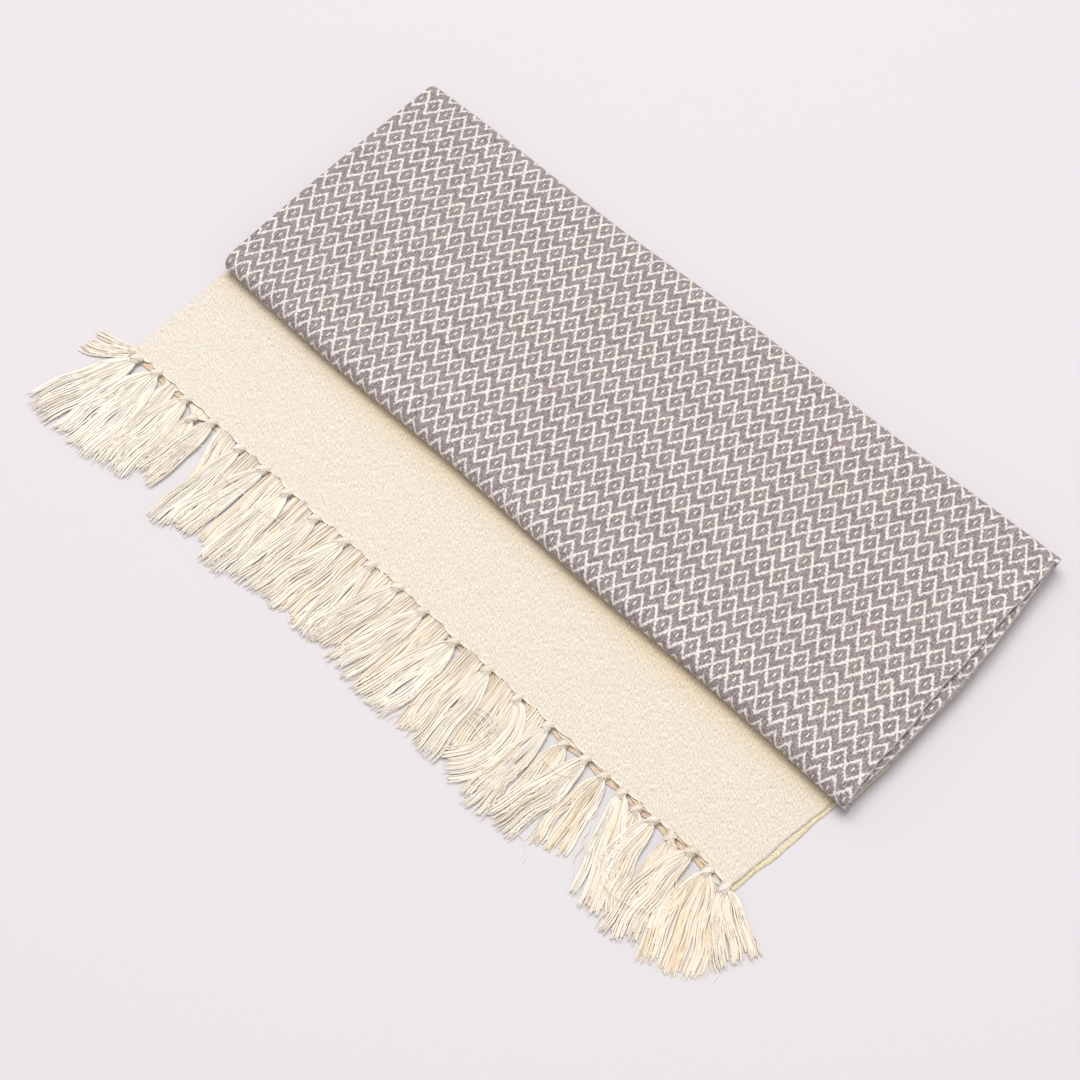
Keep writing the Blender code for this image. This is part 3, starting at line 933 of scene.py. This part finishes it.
def strand(tassel, reach, lie, rank, core, bundles, settings, chance):
    """One strand, from the woven end through the knot to its tip."""
    bundle_tip, bundle_wave, longer = bundles[min(BUNDLES - 1, int((rank + 1.0) / 2.0 * BUNDLES))]
    stack = lie.stack * (CORE_STACK if core else chance.uniform(-1.0, 1.0))
    points = strand_root(tassel, reach, lie, rank, stack)
    length = tassel.length + longer + chance.gauss(0.0, UNEVEN_LENGTH)
    tip_rank = BUNDLE_SHARE * bundle_tip + (1.0 - BUNDLE_SHARE) * rank + \
        chance.gauss(0.0, UNEVEN_TIP)
    own_phase = chance.uniform(0.0, TURN)
    own_wave = chance.uniform(*STRAND_WAVE)
    if core:
        tip_rank = CORE_WIDTH * rank
        length -= CORE_SHORTER
    elif chance.random() < settings.stray_share:
        own_wave = chance.uniform(*STRAY_WAVE)
        tip_rank *= STRAY_TIP
    depth = 0.0 if core else chance.uniform(*STRAND_DEPTH)
    rest = lie.rest + lie.deep * min(1.0, USUAL_WIDTH / tassel.width) * depth
    lift = chance.uniform(*STRAND_LIFT)
    waves = ((*bundle_wave, BUNDLE_WAVE_BY),
             (own_phase, STRAND_WAVE_LENGTH, own_wave, STRAND_WAVE_BY))
    first = math.radians(tassel.lean_knot)
    last = math.radians(tassel.lean_tip)
    x, y = tassel.place, knot_y(tassel)
    for number in range(1, SKIRT_STEPS + 1):
        part = number / SKIRT_STEPS
        lean = first + (last - first) * (part - 0.5 / SKIRT_STEPS)
        x += length / SKIRT_STEPS * math.sin(lean)
        y -= length / SKIRT_STEPS * math.cos(lean)
        opened = (1.0 - math.exp(-FLARE * part)) / (1.0 - math.exp(-FLARE))
        spread = tassel.neck + (tassel.width / 2.0 - tassel.neck) * opened
        beside = spread * (rank + (tip_rank - rank) * ease(OPENING * part))
        for phase, wave_length, wave, full_by in waves:
            beside += wave * math.sin(TURN * part * length / wave_length + phase) * \
                ease(part / full_by)
        girth = CORE_GIRTH * min(1.0, 0.5 + 3.0 * part) if core else 1.0
        if part >= TIP_FROM:
            girth *= TIP_GIRTH
        fallen = ease(part / FALLEN_BY)
        z = (lie.knot + stack) * (1.0 - fallen) + rest * fallen + lift * math.sin(math.pi * part)
        z = max(z, max(1.0, girth) * settings.yarn / MM / 2.0)
        points.append((x + beside * math.cos(lean), y + beside * math.sin(lean), z, girth))
    # painted shade: the lower a strand lies, the nearer its tone to the shaded yarn
    tone = DEEP_TONE + TONE_RISE * depth
    if not core and chance.random() >= EVEN_SHARE:
        tone = chance.uniform(*ODD_TONE)
    # painted light: paler towards the left fold; the row's painted shade is taken off
    tone += LIGHT_FROM_LEFT * (1.0 - tassel.place / FOLDED_WIDTH) - lie.golden
    return points, tone, lie.root_golden, False


def tassel_yarns(tassel, reach, lie, settings, chance):
    """The yarns of one tassel: its strands, the thick yarns under them, and its knot.

    reach is how much of the woven end it gathers, before and after its knot.
    """
    tips = [chance.uniform(-BUNDLE_SHIFT, BUNDLE_SHIFT) + 2.0 * (number + 0.5) / BUNDLES - 1.0
            for number in range(BUNDLES)]
    waves = [(chance.uniform(0.0, TURN), chance.uniform(*BUNDLE_WAVE_LENGTH),
              chance.uniform(*BUNDLE_WAVE)) for _ in range(BUNDLES)]
    longer = [chance.uniform(*BUNDLE_LONGER) for _ in range(BUNDLES)]
    bundles = list(zip(tips, waves, longer))
    count = round(settings.strands * (tassel.width / USUAL_WIDTH) ** CROWDING)
    core_count = round(CORE_STRANDS * tassel.width / USUAL_WIDTH)
    yarns = []
    for many, core in ((count, False), (core_count, True)):
        for number in range(many):
            rank = 2.0 * (number + 0.5) / many - 1.0
            yarns.append(strand(tassel, reach, lie, rank, core, bundles, settings, chance))
    if tassel.neck <= TUCKED_NECK:
        yarns += knot_yarns(tassel, lie, chance)
    return yarns


def knot_yarns(tassel, lie, chance):
    """An overhand knot drawn tight: yarns wrapped side by side, and a few crossing over them."""
    centre = Vector((tassel.place, knot_y(tassel), lie.knot))
    lean = math.radians(tassel.lean_knot) / 2.0
    along = Vector((math.sin(lean), -math.cos(lean), 0.0))
    beside = Vector((math.cos(lean), math.sin(lean), 0.0))
    up = Vector((0.0, 0.0, 1.0))
    slant = math.tan(math.radians(tassel.turn)) * KNOT_SLANT
    size = chance.uniform(*KNOT_SIZE)
    yarns = []
    for wrap in range(KNOT_WRAPS):
        offset = (wrap + 0.5) / KNOT_WRAPS * 2.0 - 1.0
        girth = math.sqrt(1.0 - KNOT_ROUND * offset * offset) * size * chance.uniform(*KNOT_GIRTH)
        points = []
        for step in range(KNOT_RING_STEPS):
            angle = TURN * step / KNOT_RING_STEPS
            point = centre + \
                along * (offset * KNOT_HALF_LENGTH + slant * math.cos(angle)) + \
                beside * (KNOT_HALF_WIDTH * girth * math.cos(angle)) + \
                up * (KNOT_HALF_HEIGHT * girth * math.sin(angle))
            point.z = max(point.z, KNOT_LOWEST)
            points.append((*point, KNOT_YARN))
        yarns.append((points, chance.uniform(*KNOT_TONE), 0.0, True))
    for crossing in range(KNOT_CROSSINGS):
        offset = (crossing + 0.5) / KNOT_CROSSINGS * 2.0 - 1.0
        points = []
        for step in range(KNOT_RING_STEPS):
            angle = math.pi * step / (KNOT_RING_STEPS - 1)
            across = KNOT_HALF_WIDTH * CROSSING_OUT * size * math.cos(angle)
            point = centre + beside * (across + 0.5 * offset) + \
                along * (CROSSING_SPREAD * offset - CROSSING_SLANT * across) + \
                up * (KNOT_HALF_HEIGHT * CROSSING_UP * size * math.sin(angle) *
                      (1.0 - 0.1 * offset ** 2))
            point.z = max(point.z, KNOT_LOWEST)
            points.append((*point, KNOT_YARN))
        yarns.append((points, chance.uniform(*OUTER_TONE), 0.0, False))
    return yarns


def row_yarns(row, upper, settings, seed):
    """All the yarns of one row of tassels."""
    chance = random.Random(seed)
    tassels = [Tassel(*entry) for entry in row]
    left = PASSES[0][1] + 1.0
    right = FOLDED_WIDTH + PASSES[0][4] - 1.0
    middles = [(one.place + following.place) / 2.0
               for one, following in zip(tassels, tassels[1:])]
    yarns = []
    for tassel, start, end in zip(tassels, [left] + middles, middles + [right]):
        lie = UPPER_LIE if upper else TUCKED_LIE if tassel.neck > TUCKED_NECK else LOWER_LIE
        reach = (max(1.0, tassel.place - start), max(1.0, end - tassel.place))
        yarns += tassel_yarns(tassel, reach, lie, settings, chance)
    return yarns


def loose_yarns(chance):
    """Threads that came loose and lie over the towel's end."""
    yarns = []
    for start, bend, end in LOOSE_THREADS:
        points = []
        for step in range(LOOSE_STEPS + 1):
            part = step / LOOSE_STEPS
            point = (1.0 - part) ** 2 * Vector(start) + 2.0 * part * (1.0 - part) * Vector(bend) + \
                part ** 2 * Vector(end)
            wander = LOOSE_WANDER * math.sin(TURN * 1.7 * part + start[0])
            points.append((point.x, point.y + wander, point.z, LOOSE_GIRTH))
        yarns.append((points, chance.uniform(*OUTER_TONE), 0.0, False))
    return yarns


# ---------------------------------------------------------------- settings

def colour_setting(name, description, colour):
    """A colour to choose, with its first value as it is written for screens."""
    return bpy.props.FloatVectorProperty(
        name=name, description=description, subtype="COLOR", size=4, default=linear(colour))


class TowelClothSettings(bpy.types.PropertyGroup):
    """Sizes and colours of the cloth."""

    thickness: bpy.props.FloatProperty(
        name="Thickness", description="Thickness of the woven cloth",
        default=0.00086, unit="LENGTH", precision=5)
    grey_weft: colour_setting("Grey weft", "Weft of the diamonds", "#8F8582")
    mauve_weft: colour_setting(
        "Mauve weft", "The same weft where it took the dye more warmly", "#8D8183")
    white_warp: colour_setting("White warp", "Warp that draws the lines", "#DFD8D3")
    cream_warp: colour_setting("Cream warp", "Warp of the end band", "#E1DACB")
    cream_weft: colour_setting("Cream weft", "Weft of the end band", "#DED6C8")
    # painted shade: the lower half's selvedge along the end band, in the shade of the upper half
    shaded_band_selvedge: colour_setting(
        "Band selvedge", "Doubled edge threads of the end band", "#E2D5B4")
    # painted shade: the end band's tan where it goes in under the fold
    under_fold_shade: colour_setting(
        "Fold tan", "The end band where it goes in under the fold", "#DFCFB2")
    shaded_end: colour_setting(
        "Shaded end", "Last picks of the lower half, between the knots", "#DAC5AC")


class TowelFringeSettings(bpy.types.PropertyGroup):
    """Sizes and colours of the fringe."""

    yarn: bpy.props.FloatProperty(
        name="Yarn", description="Thickness of one yarn", default=0.00056, unit="LENGTH",
        precision=5)
    strands: bpy.props.IntProperty(
        name="Strands", description="Yarns in each tassel", default=42, min=6)
    stray_share: bpy.props.FloatProperty(
        name="Strays", description="Share of the yarns that wander", default=0.07,
        subtype="FACTOR")
    light_yarn: colour_setting("Light yarn", "Yarn on the outside of a tassel", "#F8F2E6")
    # painted shade: the colour of yarn deep in a tassel
    shaded_yarn: colour_setting("Golden yarn", "Yarn deep in a tassel", "#E5D0AC")


class TowelStageSettings(bpy.types.PropertyGroup):
    """Floor and light."""

    floor: bpy.props.FloatProperty(
        name="Floor", description="Width of the floor", default=4.0, unit="LENGTH")
    card: colour_setting("Card", "Colour of the floor", "#D5D2D4")
    key: bpy.props.FloatProperty(
        name="Key light", description="Power of the large soft light", default=92.0)
    fill: bpy.props.FloatProperty(
        name="Fill", description="Strength of the light from all around", default=0.62)


# ---------------------------------------------------------------- operators

class TOWEL_OT_cloth(bpy.types.Operator):
    """Lay the woven cloth on its folds"""

    bl_idname = "towel.cloth"
    bl_label = "Woven cloth"

    def execute(self, context):
        settings = context.scene.towel_cloth
        rows = stations()
        columns = across()
        grid = [[lay(row, *column) for column in columns] for row in rows]
        flat, first = flat_sizes(rows, columns, grid)
        sheet = bmesh.new()
        bmesh.ops.create_grid(sheet, x_segments=len(columns) - 1, y_segments=len(rows) - 1,
                              size=0.5)
        layer = sheet.loops.layers.uv.new("flat")
        spots = {}
        for vertex in sheet.verts:
            column = round((vertex.co.x + 0.5) * (len(columns) - 1))
            row = round((vertex.co.y + 0.5) * (len(rows) - 1))
            vertex.co = to_frame(*grid[row][column])
            spots[vertex.index] = Vector(flat[row][column]) * MM
        for face in sheet.faces:
            face.smooth = True
            for loop in face.loops:
                loop[layer].uv = spots[loop.vert.index]
        bmesh.ops.recalc_face_normals(sheet, faces=sheet.faces)
        mesh = bpy.data.meshes.new("woven_cloth")
        sheet.to_mesh(mesh)
        sheet.free()
        cloth = new_object("woven_cloth", mesh, woven_material(first, settings))
        thickness = cloth.modifiers.new("thickness", "SOLIDIFY")
        thickness.thickness = settings.thickness
        thickness.offset = 0.0
        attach(cloth, "root")
        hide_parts("towel_cloth")
        return {"FINISHED"}


class TOWEL_OT_fringe(bpy.types.Operator):
    """Knot the two rows of tassels"""

    bl_idname = "towel.fringe"
    bl_label = "Knotted fringe"

    def execute(self, context):
        settings = context.scene.towel_fringe
        material = yarn_material(settings)
        for name, row, upper, seed in (("fringe_upper", UPPER_ROW, True, UPPER_SEED),
                                       ("fringe_lower", LOWER_ROW, False, LOWER_SEED)):
            yarns = row_yarns(row, upper, settings, seed)
            if upper:
                yarns += loose_yarns(random.Random(LOOSE_SEED))
            tassels = yarn_object(name, yarns, settings.yarn, material)
            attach(tassels, "root")
            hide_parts("fringe")
        return {"FINISHED"}


class TOWEL_OT_stage(bpy.types.Operator):
    """Set the floor, the lights and the camera"""

    bl_idname = "towel.stage"
    bl_label = "Floor, light and camera"

    def execute(self, context):
        settings = context.scene.towel_stage
        floor_mesh = bmesh.new()
        bmesh.ops.create_grid(floor_mesh, x_segments=1, y_segments=1, size=settings.floor / 2.0)
        mesh = bpy.data.meshes.new("floor")
        floor_mesh.to_mesh(mesh)
        floor_mesh.free()
        new_object("floor", mesh, card_material(settings))

        world = bpy.data.worlds.new("studio")
        world.use_nodes = True
        surroundings = world.node_tree.nodes["Background"]
        surroundings.inputs["Color"].default_value = linear("#FFFCFF")
        surroundings.inputs["Strength"].default_value = settings.fill
        context.scene.world = world

        light = bpy.data.lights.new("key", "AREA")
        light.energy = settings.key
        light.color = linear("#FFFDFB")[:3]
        light.size = KEY_SIZE
        key = bpy.data.objects.new("key", light)
        key.location = KEY_PLACE
        key.rotation_euler = (-key.location).to_track_quat("-Z", "Y").to_euler()
        context.scene.collection.objects.link(key)

        context.scene.camera = make_camera(context)
        context.scene.view_settings.view_transform = "Standard"
        return {"FINISHED"}


def make_camera(context):
    """The camera, looking down at the towel from in front of its selvedges."""
    azimuth = math.radians(CAMERA_AZIMUTH)
    elevation = math.radians(CAMERA_ELEVATION)
    towards = Vector((math.cos(elevation) * math.sin(azimuth),
                      -math.cos(elevation) * math.cos(azimuth), math.sin(elevation)))
    level_right = Vector((math.cos(azimuth), math.sin(azimuth), 0.0))
    level_up = towards.cross(level_right)
    roll = math.radians(CAMERA_ROLL)
    right = level_right * math.cos(roll) + level_up * math.sin(roll)
    up = towards.cross(right)
    lens = bpy.data.cameras.new("camera")
    lens.lens = LENS
    lens.sensor_width = SENSOR
    lens.clip_start = CLIP_START
    camera = bpy.data.objects.new("camera", lens)
    turned = Matrix((right, up, towards)).transposed().to_4x4()
    turned.translation = to_frame(*AIM) + towards * CAMERA_DISTANCE * MM
    camera.matrix_world = turned
    context.scene.collection.objects.link(camera)
    return camera


class VIEW3D_PT_towel(bpy.types.Panel):
    """Buttons for the towel's pieces, with their sizes and colours"""

    bl_label = "Hammam towel"
    bl_idname = "VIEW3D_PT_towel"
    bl_space_type = "VIEW_3D"
    bl_region_type = "UI"
    bl_category = "Towel"

    def draw(self, context):
        for group, operator in STEPS:
            box = self.layout.box()
            box.operator(operator)
            settings = getattr(context.scene, group)
            for name in settings.__annotations__:
                box.prop(settings, name)


GROUPS = {
    "towel_cloth": TowelClothSettings,
    "towel_fringe": TowelFringeSettings,
    "towel_stage": TowelStageSettings,
}
STEPS = (
    ("towel_cloth", "towel.cloth"),
    ("towel_fringe", "towel.fringe"),
    ("towel_stage", "towel.stage"),
)
CLASSES = (TOWEL_OT_cloth, TOWEL_OT_fringe, TOWEL_OT_stage, VIEW3D_PT_towel)


def register():
    """Add the settings, the operators and the panel."""
    for name, group in GROUPS.items():
        bpy.utils.register_class(group)
        setattr(bpy.types.Scene, name, bpy.props.PointerProperty(type=group))
    for item in CLASSES:
        bpy.utils.register_class(item)


def unregister():
    """Take them away again."""
    for item in reversed(CLASSES):
        bpy.utils.unregister_class(item)
    for name, group in GROUPS.items():
        delattr(bpy.types.Scene, name)
        bpy.utils.unregister_class(group)


def main():
    """Make every piece."""
    register()
    bpy.ops.towel.cloth()
    bpy.ops.towel.fringe()
    bpy.ops.towel.stage()
    bpy.context.view_layer.update()


if __name__ == "__main__":
    main()
